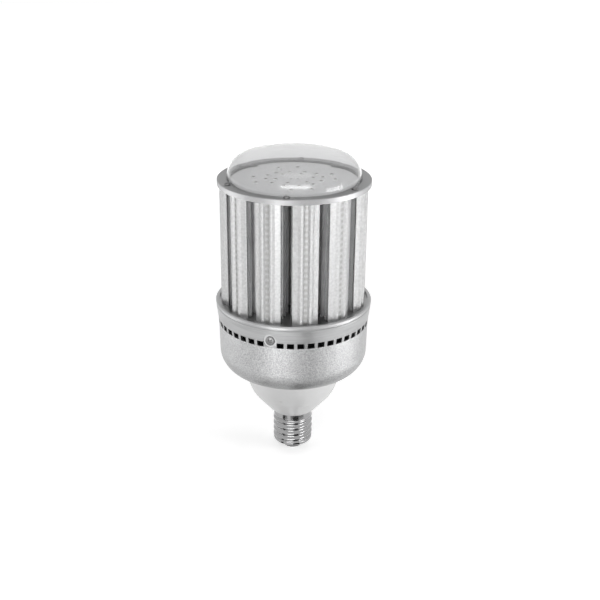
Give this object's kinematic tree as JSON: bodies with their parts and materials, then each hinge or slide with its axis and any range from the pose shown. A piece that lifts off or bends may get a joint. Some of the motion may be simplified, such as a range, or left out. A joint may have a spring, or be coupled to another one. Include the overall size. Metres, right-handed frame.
{
  "type": "corn led bulb",
  "caption": "High-power corn LED bulb: finned aluminium heat sink ringed by clear-covered LED strips, domed light board on top, vented driver cup and E40 screw base below.",
  "frame": {"origin": "tip of the centre contact, on the bulb's axis", "axes": "+Z along the axis from the screw base to the dome; one LED strip faces +X"},
  "size_m": [0.15, 0.15, 0.3128],
  "materials": {
    "contact_metal": "tinned, slightly dull",
    "base_glass": "black vitreous, glossy",
    "plated_shell": "nickel plated, bright",
    "neck_plastic": "smooth white, slight gloss",
    "cup_metal": "silver, fine bead-blasted",
    "collar_metal": "silver, fine turned lines",
    "sink_aluminium": "extruded, matt anodised",
    "ring_metal": "silver, satin",
    "light_board": "metal-core board with white mask",
    "emitter_face": "pale phosphor",
    "cover_clear": "clear extruded polycarbonate",
    "dome_clear": "clear moulded polycarbonate",
    "screw_steel": "zinc plated",
    "circuit_board": "solder mask",
    "ferrite": "dark sintered",
    "coil_tape": "insulating tape",
    "capacitor_sleeve": "shrink sleeve",
    "moulded_black": "moulded",
    "lead_red": "insulated lead",
    "lead_blue": "insulated lead"
  },
  "bodies": {
    "root": {"base_insulator": "base_glass", "board_screws": "screw_steel", "bulk_capacitors": "capacitor_sleeve", "centre_contact": "contact_metal", "collar_screws": "screw_steel", "driver_board": "circuit_board", "driver_cup": "cup_metal", "driver_liner": "moulded_black", "feed_leads": "lead_blue", "heat_sink": "sink_aluminium", "led_strip_01": "light_board", "led_strip_02": "light_board", "led_strip_03": "light_board", "led_strip_04": "light_board", "led_strip_05": "light_board", "led_strip_06": "light_board", "led_strip_07": "light_board", "led_strip_08": "light_board", "led_strip_09": "light_board", "led_strip_10": "light_board", "led_strip_11": "light_board", "led_strip_12": "light_board", "line_choke": "coil_tape", "live_lead": "lead_red", "neck_cone": "neck_plastic", "neck_screws": "screw_steel", "neutral_lead": "lead_blue", "output_leads": "lead_red", "plate_screws": "screw_steel", "rectifier": "moulded_black", "ring_screws": "screw_steel", "screw_shell": "plated_shell", "sink_screws": "screw_steel", "strip_cover_01": "cover_clear", "strip_cover_02": "cover_clear", "strip_cover_03": "cover_clear", "strip_cover_04": "cover_clear", "strip_cover_05": "cover_clear", "strip_cover_06": "cover_clear", "strip_cover_07": "cover_clear", "strip_cover_08": "cover_clear", "strip_cover_09": "cover_clear", "strip_cover_10": "cover_clear", "strip_cover_11": "cover_clear", "strip_cover_12": "cover_clear", "strip_emitters": "emitter_face", "top_board": "light_board", "top_dome": "dome_clear", "top_emitters": "emitter_face", "top_plate": "sink_aluminium", "top_ring": "ring_metal", "transformer_core": "ferrite", "transformer_winding": "coil_tape", "vent_collar": "collar_metal"}
  },
  "joints": []
}
